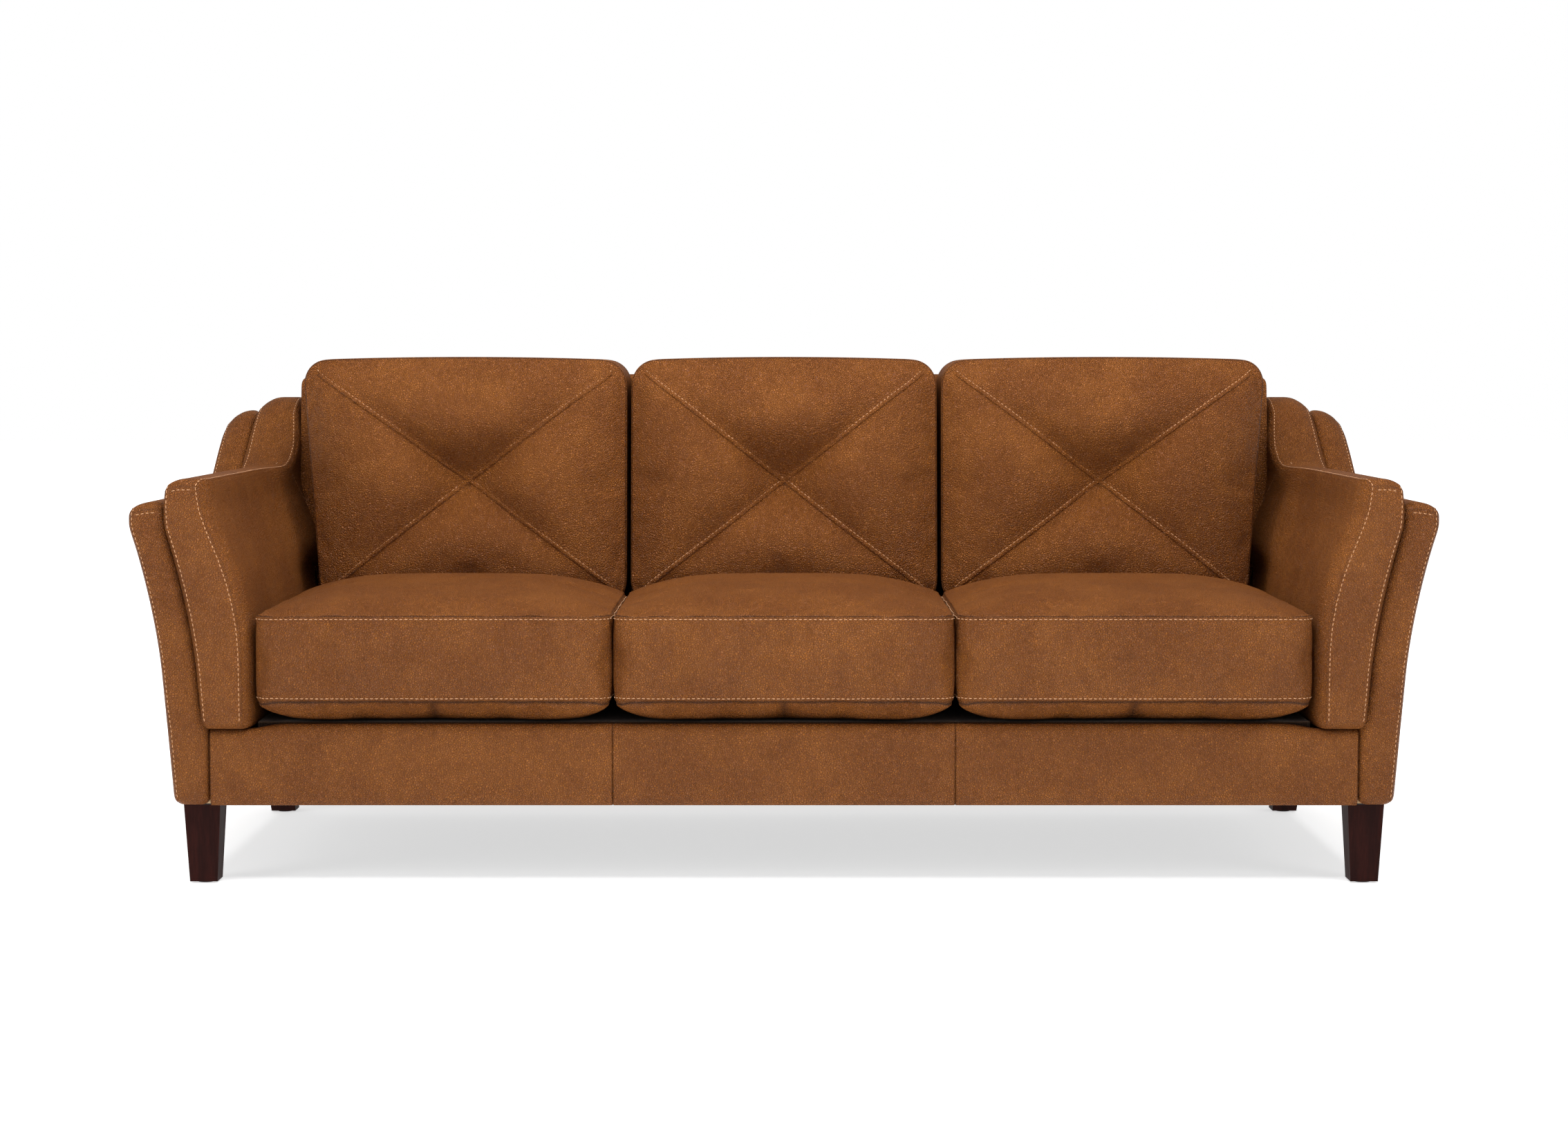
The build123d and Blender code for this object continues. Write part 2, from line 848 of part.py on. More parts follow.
def back_cushion_cover(name, place):
    """Leather case of a back cushion."""
    filled = back_cushion_solid(place, 0)
    hollow = back_cushion_solid(place, leather)
    with BuildPart() as cover:
        add(filled)
        add(hollow, mode=Mode.SUBTRACT)
    write(cover.part, f"back_cushion_cover_{name}")


def back_cushion_fills():
    """The fibre fill of the three back cushions."""
    fills = [back_cushion_solid(place, leather + layer_gap) for place in seats.values()]
    with BuildPart() as fill:
        for solid in fills:
            add(solid)
    write(fill.part, "back_cushion_fills")


# Legs


def leg(name, x, y, kick):
    """A square leg that tapers down, bored from above for its hanger bolt."""
    with BuildPart() as body:
        with BuildSketch(Plane.XY.offset(glide_height)):
            with Locations((x, y + kick)):
                Rectangle(leg_foot_width, leg_foot_depth)
        with BuildSketch(Plane.XY.offset(base_height)):
            with Locations((x, y)):
                Rectangle(leg_top_width, leg_top_depth)
        loft()
        with BuildSketch(Plane.XY.offset(base_height)):
            with Locations((x, y)):
                Circle(bolt_radius + thread_clearance)
        extrude(amount=-bolt_in_leg, mode=Mode.SUBTRACT)
    write(body.part, f"leg_{name}")


def leg_glides():
    """A plastic glide under each leg's foot."""
    with BuildPart() as glides:
        with BuildSketch(Plane.XY):
            with Locations(*[(x, y + kick) for x, y, kick in leg_places.values()]):
                Circle(glide_radius)
        extrude(amount=glide_height)
    write(glides.part, "leg_glides")


def leg_bolts():
    """The hanger bolts, from inside the legs up through the tee nuts."""
    with BuildPart() as bolts:
        with BuildSketch(Plane.XY.offset(base_height - bolt_in_leg)):
            with Locations(*[(x, y) for x, y, kick in leg_places.values()]):
                Circle(bolt_radius)
        extrude(amount=bolt_in_leg + dust_cloth + bolt_in_block)
    write(bolts.part, "leg_bolts")


def leg_tee_nuts():
    """Flanged tee nuts in the corner blocks."""
    bores = [(x, y) for x, y, kick in leg_places.values()]
    with BuildPart() as nuts:
        with BuildSketch(Plane.XY.offset(frame_bottom)):
            with Locations(*bores):
                Circle(tee_nut_flange_radius)
        extrude(amount=tee_nut_flange)
        with BuildSketch(Plane.XY.offset(frame_bottom)):
            with Locations(*bores):
                Circle(tee_nut_radius)
        extrude(amount=tee_nut_barrel)
        with BuildSketch(Plane.XY.offset(frame_bottom)):
            with Locations(*bores):
                Circle(bolt_radius + thread_clearance)
        extrude(amount=tee_nut_barrel, mode=Mode.SUBTRACT)
    write(nuts.part, "leg_tee_nuts")


os.makedirs("parts", exist_ok=True)

front_rail()
rear_rail()
seat_stretchers()
corner_blocks()
back_posts("back_outer_posts", seat_half - wrap - board / 2)
back_posts("back_inner_posts", seat_division)
back_rail("back_top_rail", seat_half - wrap, back_top_rail_height)
back_rail("back_lower_rail", seat_half - wrap, back_lower_rail_height)
back_webbing()
spring_clips()
deck_layer("deck_pad", deck_height - deck_cloth - layer_gap - deck_pad, deck_pad)
deck_layer("deck_cloth", deck_height - deck_cloth, deck_cloth)
apron_foam()
dust_cover()
back_frame_cover()
back_frame_foam()
outside_back_cover()
back_cushion_fills()
leg_glides()
leg_bolts()
leg_tee_nuts()

for name, side in sides.items():
    side_rail(name, side)
    arm_post(name, side, "front", (rail_front, rail_front + arm_post_depth))
    arm_post(name, side, "rear", (outside_back(rail_top) - wrap - arm_post_depth, rear))
    arm_top_rail(name, side)
    arm_shell_cover(name, side)
    arm_shell_foam(name, side)
    arm_pad_cover(name, side)
    arm_pad_foam(name, side)

for name, place in seats.items():
    seat_springs(name, place)
    apron_cover(name, place)
    seat_cushion(name, place)
    back_cushion_cover(name, place)

for name, (x, y, kick) in leg_places.items():
    leg(name, x, y, kick)
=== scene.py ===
import math

import bpy
import numpy as np
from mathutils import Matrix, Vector
from mathutils.bvhtree import BVHTree


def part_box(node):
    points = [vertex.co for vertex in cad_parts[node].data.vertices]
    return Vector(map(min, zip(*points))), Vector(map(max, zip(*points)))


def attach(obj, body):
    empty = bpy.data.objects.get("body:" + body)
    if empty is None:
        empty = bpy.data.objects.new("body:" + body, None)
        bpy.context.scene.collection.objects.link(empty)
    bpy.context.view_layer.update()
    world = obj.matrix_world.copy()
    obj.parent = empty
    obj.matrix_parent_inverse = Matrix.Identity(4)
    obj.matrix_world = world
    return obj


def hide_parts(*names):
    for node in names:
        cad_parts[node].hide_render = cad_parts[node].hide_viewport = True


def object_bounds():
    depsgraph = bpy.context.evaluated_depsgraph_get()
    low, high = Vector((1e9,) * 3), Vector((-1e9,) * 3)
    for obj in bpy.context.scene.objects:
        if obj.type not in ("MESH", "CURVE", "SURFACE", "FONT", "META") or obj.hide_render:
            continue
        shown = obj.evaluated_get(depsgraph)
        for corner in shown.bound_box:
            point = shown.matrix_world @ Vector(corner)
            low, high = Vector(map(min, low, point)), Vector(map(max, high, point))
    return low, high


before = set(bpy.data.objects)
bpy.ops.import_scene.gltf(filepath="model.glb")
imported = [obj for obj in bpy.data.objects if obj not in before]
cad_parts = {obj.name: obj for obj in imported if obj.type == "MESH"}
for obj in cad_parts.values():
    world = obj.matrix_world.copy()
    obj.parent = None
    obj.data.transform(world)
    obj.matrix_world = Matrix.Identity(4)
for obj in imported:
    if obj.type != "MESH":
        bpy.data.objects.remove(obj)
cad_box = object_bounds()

# ---------------------------------------------------------------- Leather
# Every panel of the sofa is cut from one hide: cowhide with a pebbled grain, dyed a mid brown and paler
# where the grain is rubbed. Its seams and creases are darkened with painted shade.


class Wire:
    """A node's output that can be used in sums, so that an expression adds its Math nodes."""

    def __init__(self, tree, socket):
        self.tree = tree
        self.socket = socket

    def add(self, kind, settings, **values):
        """Adds a node of a type, sets it up, joins its named inputs and returns its outputs by name."""
        node = self.tree.nodes.new(kind)
        for name, value in settings.items():
            setattr(node, name, value)
        for name, value in values.items():
            key = int(name[1:]) if name[0] == "_" else name.replace("_", " ")
            slot = node.inputs[key]
            if isinstance(value, Wire):
                self.tree.links.new(value.socket, slot)
            else:
                slot.default_value = value
        return {out.name: Wire(self.tree, out) for out in node.outputs if out.enabled}

    def sum_with(self, other, operation, swapped=False):
        first, second = (other, self) if swapped else (self, other)
        return self.add("ShaderNodeMath", {"operation": operation}, _0=first, _1=second)["Value"]

    def __add__(self, other):
        return self.sum_with(other, "ADD")

    def __mul__(self, other):
        return self.sum_with(other, "MULTIPLY")

    def __sub__(self, other):
        return self.sum_with(other, "SUBTRACT")

    def __rsub__(self, other):
        return self.sum_with(other, "SUBTRACT", swapped=True)

    def __pow__(self, other):
        return self.sum_with(other, "POWER")

    __radd__ = __add__
    __rmul__ = __mul__

    def eased(self, low, high):
        """0 below low, 1 above high and a soft step between them."""
        settings = {"interpolation_type": "SMOOTHSTEP"}
        return self.add("ShaderNodeMapRange", settings, Value=self, From_Min=low, From_Max=high)["Result"]

    def mixed(self, first, second):
        """A colour between two colours, with this value as the factor."""
        node = self.tree.nodes.new("ShaderNodeMix")
        node.data_type = "RGBA"
        self.tree.links.new(self.socket, node.inputs[0])
        for place, colour in ((6, first), (7, second)):
            if isinstance(colour, Wire):
                self.tree.links.new(colour.socket, node.inputs[place])
            else:
                node.inputs[place].default_value = (*colour, 1)
        return Wire(self.tree, node.outputs[2])


def new_material(name, **constants):
    """A Principled material with its constant sockets set: returns it, its shader and a place to start."""
    material = bpy.data.materials.new(name)
    material.use_nodes = True
    shader = material.node_tree.nodes["Principled BSDF"]
    for socket, value in constants.items():
        shader.inputs[socket.replace("_", " ")].default_value = value
    coordinates = material.node_tree.nodes.new("ShaderNodeTexCoord")
    return material, shader, Wire(material.node_tree, coordinates.outputs["Object"])


def finish_surface(start, shader, colour, roughness, height, distance):
    """Joins a colour, a roughness and a relief to the shader."""
    bump = start.add("ShaderNodeBump", {}, Strength=1.0, Distance=distance, Height=height)["Normal"]
    for socket, value in (("Base Color", colour), ("Roughness", roughness), ("Normal", bump)):
        start.tree.links.new(value.socket, shader.inputs[socket])


def make_leather():
    hide = (0.205, 0.0615, 0.0070)
    hide_pale = (0.330, 0.118, 0.020)
    hide_dark = (0.092, 0.0235, 0.0024)
    # Near-black brown, painted into the seams and creases as painted shade.
    painted_crease_shade = (0.022, 0.006, 0.001)
    material, shader, place = new_material("brown_leather", Specular_IOR_Level=0.20)
    cloud = place.add("ShaderNodeTexNoise", {}, Vector=place, Scale=7.0, Detail=5.0, Roughness=0.55)["Fac"]
    blotch = place.add("ShaderNodeTexNoise", {}, Vector=place, Scale=26.0, Detail=4.0, Roughness=0.6)["Fac"]
    bend = place.add("ShaderNodeTexNoise", {}, Vector=place, Scale=60.0, Detail=2.0)["Color"]
    warped = place.add(
        "ShaderNodeVectorMath", {"operation": "MULTIPLY_ADD"}, _0=bend, _1=(0.006,) * 3, _2=place
    )
    pebble = place.add(
        "ShaderNodeTexVoronoi", {"feature": "DISTANCE_TO_EDGE"}, Vector=warped["Vector"], Scale=300.0
    )["Distance"]
    tone = place.add("ShaderNodeTexVoronoi", {}, Vector=warped["Vector"], Scale=300.0)["Color"]
    grey = tone.add("ShaderNodeSeparateColor", {}, Color=tone)["Red"]
    pore = place.add("ShaderNodeTexNoise", {}, Vector=place, Scale=900.0, Detail=2.0)["Fac"]
    seam_shade = place.add("ShaderNodeAttribute", {"attribute_name": "seam"})["Fac"]
    dome = pebble.eased(0.0, 0.34)
    valley = 1 - pebble.eased(0.0, 0.13)
    pale = (cloud * 0.62 + blotch * 0.38).eased(0.40, 0.66)
    shade = (pale * 0.56 + grey * 0.30 + dome * 0.20).mixed(hide_dark, hide_pale)
    body = (cloud * 0.3 + 0.35).mixed(shade, hide)
    grained = (valley * 0.88).mixed(body, hide_dark)
    # Painted shade: points near a seam or crease, by the seam attribute, are darkened towards near-black
    # brown.
    colour = (seam_shade ** 1.6 * 0.90).mixed(grained, painted_crease_shade)
    roughness = 0.36 + valley * 0.16 + cloud * 0.12
    height = dome * 0.75 + pore * 0.12 + blotch * 0.55
    finish_surface(place, shader, colour, roughness, height, 0.0024)
    return material


leather = make_leather()

# ---------------------------------------------------------------- Seat cushions
# Three loose cushions of foam in a leather case: a top and a bottom panel sewn to an upright boxing, with a
# row of pale thread beside each seam. The top is crowned, and its rear is pressed down by the back cushion.

SEAM_STEPS = (0.0025, 0.0065, 0.0120, 0.0185, 0.0270, 0.0370)  # grid lines beside an edge
PLAIN_LINES = 30


def grid_lines(low, high):
    """Places of the grid lines along one side of a block: close together near both ends."""
    shrink = min(1.0, (high - low) * 0.30 / SEAM_STEPS[-1])
    near = [0.0] + [step * shrink for step in SEAM_STEPS]
    middle = np.linspace(low + near[-1], high - near[-1], PLAIN_LINES + 1)[1:-1]
    return np.array([low + step for step in near] + list(middle) + [high - step for step in near[::-1]])


def leather_block(name, x_range, y_range, z_range):
    """A closed block of six gridded panels. Returns it, its points and each point's three grid numbers."""
    lines = [grid_lines(*limits) for limits in (x_range, y_range, z_range)]
    last = len(lines[0]) - 1
    bpy.ops.object.select_all(action="DESELECT")
    bpy.ops.mesh.primitive_cube_add(size=2)
    block = bpy.context.object
    block.name = block.data.name = name
    bpy.ops.object.mode_set(mode="EDIT")
    bpy.ops.mesh.select_all(action="SELECT")
    bpy.ops.mesh.subdivide(number_cuts=last - 1)
    bpy.ops.object.mode_set(mode="OBJECT")
    raw = read_points(block)
    steps = np.rint((raw + 1) / 2 * last).astype(int)
    points = np.stack([lines[axis][steps[:, axis]] for axis in range(3)], axis=1)
    return block, points, steps


def read_points(piece):
    points = np.empty(len(piece.data.vertices) * 3)
    piece.data.vertices.foreach_get("co", points)
    return points.reshape(-1, 3)


def write_points(piece, points):
    piece.data.vertices.foreach_set("co", points.ravel())
    piece.data.update()


def read_normals(piece):
    normals = np.empty(len(piece.data.vertices) * 3)
    piece.data.vertices.foreach_get("normal", normals)
    return normals.reshape(-1, 3)


def rounded(first, second, first_limits, second_limits, radius):
    """Rounds the corners of a rectangle: moves each point of its corner squares onto a quarter disc."""
    out_first = first.copy()
    out_second = second.copy()
    low_1 = first_limits[0] + radius
    high_1 = first_limits[1] - radius
    low_2 = second_limits[0] + radius
    high_2 = second_limits[1] - radius
    over_1 = first - np.clip(first, low_1, high_1)
    over_2 = second - np.clip(second, low_2, high_2)
    reach = np.hypot(over_1, over_2)
    corner = (np.abs(over_1) > 0) & (np.abs(over_2) > 0)
    scale = np.where(corner, np.maximum(np.abs(over_1), np.abs(over_2)) / np.maximum(reach, 1e-9), 1)
    out_first = np.clip(first, low_1, high_1) + over_1 * scale
    out_second = np.clip(second, low_2, high_2) + over_2 * scale
    return out_first, out_second


def smooth_step(value):
    value = np.clip(value, 0, 1)
    return value * value * value * (value * (value * 6 - 15) + 10)


def paint_seam_shade(piece, closeness):
    """Stores how close each point is to a seam, 1 on it, for the painted shade that darkens the leather in
    its seams and creases.
    """
    attribute = piece.data.attributes.new("seam", "FLOAT", "POINT")
    attribute.data.foreach_set("value", np.clip(closeness, 0, 1).astype(np.float32))


def inflate(piece, points, held, pressure, slack, cap):
    """Lets the filling push the case out between its seams, as cloth under pressure, within a cap."""
    write_points(piece, points)
    group = piece.vertex_groups.new(name="sewn")
    group.add([int(number) for number in np.nonzero(held)[0]], 1.0, "REPLACE")
    cloth = piece.modifiers.new("Cloth", "CLOTH")
    cloth.settings.quality = 6
    cloth.settings.mass = 0.4
    cloth.settings.tension_stiffness = 22
    cloth.settings.compression_stiffness = 22
    cloth.settings.shear_stiffness = 12
    cloth.settings.bending_stiffness = 1.6
    cloth.settings.shrink_min = -slack
    cloth.settings.use_pressure = True
    cloth.settings.uniform_pressure_force = pressure
    cloth.settings.vertex_group_mass = "sewn"
    cloth.settings.effector_weights.gravity = 0
    cloth.collision_settings.use_collision = False
    cloth.point_cache.frame_start = 1
    cloth.point_cache.frame_end = 20
    for number in range(1, 21):
        bpy.context.scene.frame_set(number)
    bpy.ops.object.select_all(action="DESELECT")
    piece.select_set(True)
    bpy.context.view_layer.objects.active = piece
    bpy.ops.object.modifier_apply(modifier="Cloth")
    piece.vertex_groups.clear()
    moved = read_points(piece) - points
    length = np.linalg.norm(moved, axis=1, keepdims=True)
    kept = moved * np.minimum(1, cap / np.maximum(length, 1e-9))
    bpy.context.scene.frame_set(1)
    return points + kept


def finish_leather(piece, body, fill, *nodes):
    bpy.ops.object.select_all(action="DESELECT")
    piece.select_set(True)
    bpy.context.view_layer.objects.active = piece
    smooth = piece.modifiers.new("Smooth", "SUBSURF")
    smooth.levels = smooth.render_levels = 1
    bpy.ops.object.modifier_apply(modifier="Smooth")
    bpy.ops.object.shade_smooth()
    piece.data.materials.clear()
    piece.data.materials.append(leather)
    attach(piece, body)
    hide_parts(*nodes)


def make_thread_material():
    material, shader, place = new_material("tan_thread", Specular_IOR_Level=0.3, Sheen_Weight=0.2)
    twist = place.add("ShaderNodeTexNoise", {}, Vector=place, Scale=700.0, Detail=1.0)["Fac"]
    colour = twist.mixed((0.36, 0.17, 0.075), (0.56, 0.30, 0.145))
    finish_surface(place, shader, colour, twist * 0.2 + 0.5, twist, 0.0002)
    return material


thread = make_thread_material()
STITCH_PITCH = 0.0085
STITCH_LENGTH = 0.0062
STITCH_RADIUS = 0.00085


def stitch_form():
    """One stitch: a short rounded length of thread along X."""
    bpy.ops.object.select_all(action="DESELECT")
    bpy.ops.mesh.primitive_uv_sphere_add(segments=6, ring_count=4, radius=1)
    form = bpy.context.object
    points = read_points(form)
    faces = [tuple(face.vertices) for face in form.data.polygons]
    bpy.data.objects.remove(form)
    return points[:, [2, 0, 1]] * (STITCH_LENGTH / 2, STITCH_RADIUS, STITCH_RADIUS), faces


STITCH_POINTS, STITCH_FACES = stitch_form()


def evenly(path, pitch):
    """Points evenly spaced along a path, with the path's direction at each of them."""
    path = np.asarray(path)
    runs = np.linalg.norm(np.diff(path, axis=0), axis=1)
    along = np.concatenate([[0], np.cumsum(runs)])
    places = np.arange(pitch / 2, along[-1], pitch)
    spots = np.stack([np.interp(places, along, path[:, axis]) for axis in range(path.shape[1])], axis=1)
    ahead = np.stack(
        [np.interp(places + pitch / 3, along, path[:, axis]) for axis in range(3)], axis=1
    )
    return spots, ahead - spots[:, :3]


def sew(name, piece, body, paths):
    """Rows of stitches laid on a finished piece, each along a path near its surface."""
    surface = BVHTree.FromPolygons(
        [tuple(point) for point in read_points(piece)], [tuple(face.vertices) for face in piece.data.polygons]
    )
    points = []
    faces = []
    for path in paths:
        spots, ways = evenly(path, STITCH_PITCH)
        for spot, way in zip(spots, ways):
            near, normal, number, distance = surface.find_nearest(Vector(spot))
            along = Vector(way) - normal * normal.dot(Vector(way))
            if along.length < 1e-6:
                continue
            along.normalize()
            turn = np.array([along, normal.cross(along), normal])
            first = len(points) * len(STITCH_POINTS)
            points.append(STITCH_POINTS @ turn + np.array(near + normal * STITCH_RADIUS * 0.35))
            faces += [tuple(first + corner for corner in face) for face in STITCH_FACES]
    mesh = bpy.data.meshes.new(name)
    mesh.from_pydata(np.concatenate(points).tolist(), [], faces)
    mesh.materials.append(thread)
    for face in mesh.polygons:
        face.use_smooth = True
    row = bpy.data.objects.new(name, mesh)
    bpy.context.scene.collection.objects.link(row)
    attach(row, body)
    return row


def around(points, chosen, first, second):
    """The chosen points in order round their middle, as a closed path."""
    ring = points[chosen]
    middle = (ring.max(axis=0) + ring.min(axis=0)) / 2
    order = np.argsort(np.arctan2(ring[:, second] - middle[second], ring[:, first] - middle[first]))
    return np.concatenate([ring[order], ring[order[:1]]])


SEAT_SEAM_TOP = 0.462
SEAT_SEAM_LOW = 0.316
SEAT_CORNER = 0.030
SEAT_CROWN = 0.027
last_line = len(grid_lines(0, 1)) - 1

for side in ("left", "middle", "right"):
    low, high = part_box(f"seat_cushion_cover_{side}")
    x_limits = (low[0] + 0.001, high[0] - 0.001)
    y_limits = (low[1] + 0.004, high[1] - 0.004)
    piece, points, steps = leather_block(
        f"seat_cushion_{side}", x_limits, y_limits, (SEAT_SEAM_LOW, SEAT_SEAM_TOP)
    )
    x, y = rounded(points[:, 0], points[:, 1], x_limits, y_limits, SEAT_CORNER)
    z = points[:, 2].copy()
    across = (2 * x - sum(x_limits)) / (x_limits[1] - x_limits[0])
    behind = (y - y_limits[0]) / (y_limits[1] - y_limits[0])
    top = steps[:, 2] == last_line
    bottom = steps[:, 2] == 0
    rise = (1 - np.abs(across) ** 3.4).clip(0) ** 0.85
    front_rise = 1 - (1 - np.clip(behind / 0.46, 0, 1)) ** 2.6
    pressed = smooth_step((y - 0.028) / 0.075)
    z = np.where(top, z + SEAT_CROWN * rise * front_rise, z)
    level = (z - SEAT_SEAM_LOW) / (SEAT_SEAM_TOP - SEAT_SEAM_LOW)
    z = z - pressed * (z - SEAT_SEAM_LOW) * np.clip(0.26 + 0.12 * (level - 1), 0, None)
    belly = ((1 - np.abs(across) ** 6) * (1 - np.abs(2 * behind - 1) ** 9)).clip(0) ** 0.45
    z = np.where(bottom, z - (SEAT_SEAM_LOW - low[2] - 0.002) * belly, z)
    ring = (steps[:, 0] == 0) | (steps[:, 0] == last_line) | (steps[:, 1] == 0) | (steps[:, 1] == last_line)
    points = np.stack([x, y, z], axis=1)
    held = ring & (top | bottom)
    points = inflate(piece, points, held, 2.2, 0.012, 0.012)
    points[:, 2] = np.maximum(points[:, 2], low[2] + 0.0005)
    points[:, 0] = np.clip(points[:, 0], low[0] - 0.001, high[0] + 0.001)
    write_points(piece, points)
    normals = read_normals(piece)
    points = points - normals * 0.0034 * held[:, None]
    write_points(piece, points)
    # Painted shade weights: 1 on the sewn edges, 0.35 one line in and 0.8 along the bottom zip, darkening the
    # leather there.
    near_edge = np.minimum(steps[:, 2], last_line - steps[:, 2])
    closeness = np.where(held, 1.0, np.where(ring & (near_edge == 1), 0.35, 0.0))
    joined = bottom & (steps[:, 0] == last_line // 2) & (steps[:, 1] > 0) & (steps[:, 1] < 12)
    paint_seam_shade(piece, np.where(joined, 0.8, closeness))
    body = f"seat_cushion_{side}"
    finish_leather(
        piece, body, 0.85, f"seat_cushion_cover_{side}", f"seat_cushion_core_{side}"
    )
    rows = [around(points, ring & (steps[:, 2] == number), 0, 1) for number in (2, last_line - 2)]
    sew(f"seat_cushion_stitches_{side}", piece, body, rows)

# ---------------------------------------------------------------- Back cushions
# Three thick fibre-filled cushions. The front of each is four triangles of leather, sewn along the two
# diagonals and pulled in where they cross; a boxing joins it to the back panel.

CUSHION_CORNER = 0.047
DIAGONAL_RISE = 0.028
CENTRE_PULL = 0.034
PUFF = 0.022
WELT_WIDTH = 0.0085
WELT_HEIGHT = 0.0018


def welt(name, piece, body, paths):
    """A flat lapped seam: a narrow raised band of leather along each path on a finished piece."""
    surface = BVHTree.FromPolygons(
        [tuple(point) for point in read_points(piece)], [tuple(face.vertices) for face in piece.data.polygons]
    )
    section = [(-0.5, -0.4), (-0.46, 0.55), (-0.3, 0.95), (0.1, 1.0), (0.42, 0.5), (0.5, -0.5)]
    points = []
    faces = []
    for path in paths:
        spots, ways = evenly(path, 0.006)
        first = len(points)
        for spot, way in zip(spots, ways):
            near, normal, number, distance = surface.find_nearest(Vector(spot))
            across = normal.cross(Vector(way)).normalized()
            for side, lift in section:
                foot = surface.find_nearest(near + across * side * WELT_WIDTH)
                points.append(tuple(foot[0] + normal * lift * WELT_HEIGHT))
        count = len(section)
        for number in range(len(spots) - 1):
            for corner in range(count - 1):
                start = first + number * count + corner
                faces.append((start, start + 1, start + count + 1, start + count))
    mesh = bpy.data.meshes.new(name)
    mesh.from_pydata(points, [], faces)
    mesh.materials.append(leather)
    for face in mesh.polygons:
        face.use_smooth = True
    band = bpy.data.objects.new(name, mesh)
    bpy.context.scene.collection.objects.link(band)
    bpy.ops.object.select_all(action="DESELECT")
    band.select_set(True)
    bpy.context.view_layer.objects.active = band
    bpy.ops.object.mode_set(mode="EDIT")
    bpy.ops.mesh.select_all(action="SELECT")
    bpy.ops.mesh.normals_make_consistent(inside=False)
    bpy.ops.object.mode_set(mode="OBJECT")
    paint_seam_shade(band, np.zeros(len(band.data.vertices)))
    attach(band, body)
    return band


def back_line(z):
    """Y of the inside back at a height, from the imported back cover's own box."""
    low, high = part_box("back_cushion_cover_middle")
    lean = 0.0593
    return high[1] - lean * (high[2] - z) / (high[2] - low[2])


for side, facing in (("left", -1), ("middle", 0), ("right", 1)):
    low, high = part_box(f"back_cushion_cover_{side}")
    body = "sofa"
    inner = low[0] if facing >= 0 else high[0]
    outer_top = high[0] if facing >= 0 else low[0]
    if facing:
        x_limits = (0.0, abs(outer_top - inner))
    else:
        x_limits = (low[0], high[0])
    z_limits = (low[2] + 0.002, high[2] - 0.010)
    y_limits = (-0.190, 0.0)
    piece, points, steps = leather_block(f"back_cushion_{side}", x_limits, y_limits, z_limits)
    x, z = rounded(points[:, 0], points[:, 2], x_limits, z_limits, CUSHION_CORNER)
    width = x_limits[1] - x_limits[0]
    across = (2 * x - sum(x_limits)) / width
    up = (2 * z - sum(z_limits)) / (z_limits[1] - z_limits[0])
    grid = grid_lines(*x_limits)
    column = (2 * grid[steps[:, 0]] - sum(x_limits)) / width
    upright = grid_lines(*z_limits)
    row = (2 * upright[steps[:, 2]] - sum(z_limits)) / (z_limits[1] - z_limits[0])
    reach = np.maximum(np.abs(column), np.abs(row))
    split = np.abs(np.abs(column) - np.abs(row)) / np.maximum(reach, 1e-6)
    seam_rise = DIAGONAL_RISE * (1 - reach ** 5) - CENTRE_PULL * np.exp(-((reach / 0.24) ** 2))
    puff = PUFF * (1 - (1 - split) ** 2) * (1 - reach ** 4) * np.clip(reach * 2.2, 0, 1)
    front = steps[:, 1] == 0
    rear = steps[:, 1] == last_line
    y = points[:, 1] - np.where(front, seam_rise + puff, 0)
    frame_line = back_line(z)
    points = np.stack([x, y + frame_line, z], axis=1)
    if facing:
        lean = 0.040 * (1 - (z - z_limits[0]) / (z_limits[1] - z_limits[0]))
        share = x / width
        points[:, 0] = inner + facing * (x - lean * share)
    crown = 0.006 * (1 - across ** 2).clip(0) * (up > 0.8)
    points[:, 2] += crown
    ring = (steps[:, 0] == 0) | (steps[:, 0] == last_line) | (steps[:, 2] == 0) | (steps[:, 2] == last_line)
    diagonal = front & (split < 0.001)
    held = ring | diagonal | rear
    if facing < 0:
        bpy.ops.object.select_all(action="DESELECT")
        piece.select_set(True)
        bpy.context.view_layer.objects.active = piece
        bpy.ops.object.mode_set(mode="EDIT")
        bpy.ops.mesh.select_all(action="SELECT")
        bpy.ops.mesh.flip_normals()
        bpy.ops.object.mode_set(mode="OBJECT")
    points = inflate(piece, points, held, 2.6, 0.014, 0.011)
    write_points(piece, points)
    normals = read_normals(piece)
    edge = ring & (front | rear)
    points = points - normals * (0.0030 * edge + 0.0024 * diagonal)[:, None]
    write_points(piece, points)
    # Painted shade weights: 1 on the edge seams and 0.85 on the diagonal seams, darkening the leather there.
    closeness = np.where(edge, 1.0, np.where(diagonal, 0.85, 0.0))
    paint_seam_shade(piece, closeness)
    finish_leather(piece, body, 0.75, f"back_cushion_cover_{side}", "back_cushion_fills")
    rows = []
    welts = []
    for sense in (1, -1):
        level = steps[:, 2] if sense > 0 else last_line - steps[:, 2]
        line = front & (steps[:, 0] == level) & (level >= 4) & (level <= last_line - 4)
        path = points[line][np.argsort(steps[line, 0])]
        rows.append(path + (0, 0, 0.0095))
        welts.append(path + (0, 0, 0.0048))
    sew(f"back_cushion_stitches_{side}", piece, body, rows)
    welt(f"back_cushion_welts_{side}", piece, body, welts)

# ---------------------------------------------------------------- Arms
# Each arm is two padded layers over a sawn frame: a thin outer shell that flares out from its foot, and a
# thick pad inside it. Both are level from the front and sweep up into a wing beside the back.

HALF_FOOT = 1.034
FOOT_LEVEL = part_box("arm_shell_cover_right")[0][2]
REAR_LEAN = 0.060
BACK_TOP = 0.865


